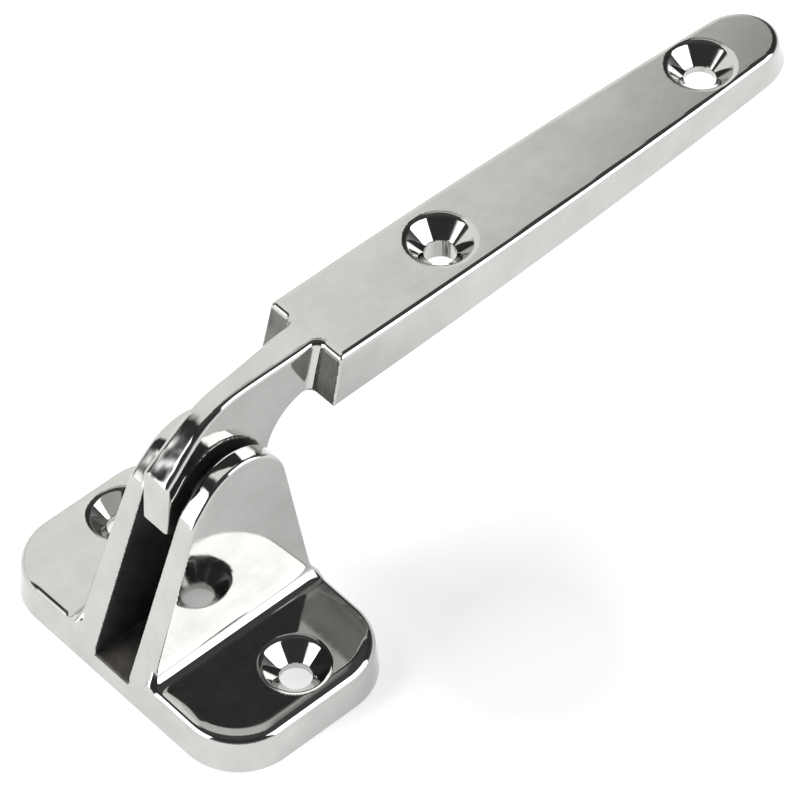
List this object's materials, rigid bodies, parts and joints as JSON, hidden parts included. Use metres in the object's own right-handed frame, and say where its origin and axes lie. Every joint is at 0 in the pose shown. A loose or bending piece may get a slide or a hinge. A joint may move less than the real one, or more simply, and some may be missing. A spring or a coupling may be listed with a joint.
{
  "type": "goose-neck strap hinge",
  "caption": "Polished goose-neck strap hinge: a two-cheek base bracket, a pivot pin with two washers, and a strap arm that swings up and over the base.",
  "frame": {"origin": "centre of the base bracket's underside, where it is screwed down", "axes": "+Z out of the mounting surface, +X along the strap when the hinge is closed, Y along the pivot pin"},
  "size_m": [0.1299, 0.0526, 0.0469],
  "materials": {
    "base_bracket": "mirror polished",
    "strap_arm": "mirror polished",
    "pivot_pin": "ground flush",
    "washer": "smooth"
  },
  "bodies": {
    "base": {"base_bracket": "base_bracket", "pivot_pin": "pivot_pin", "washer_left": "washer", "washer_right": "washer"},
    "arm": {"strap_arm": "strap_arm"}
  },
  "joints": [
    {"name": "strap_swing", "type": "hinge", "parent": "base", "child": "arm", "pos_m": [0.0035, 0, 0.0297], "axis": [0, -1, 0], "range_deg": [0, 180]}
  ]
}
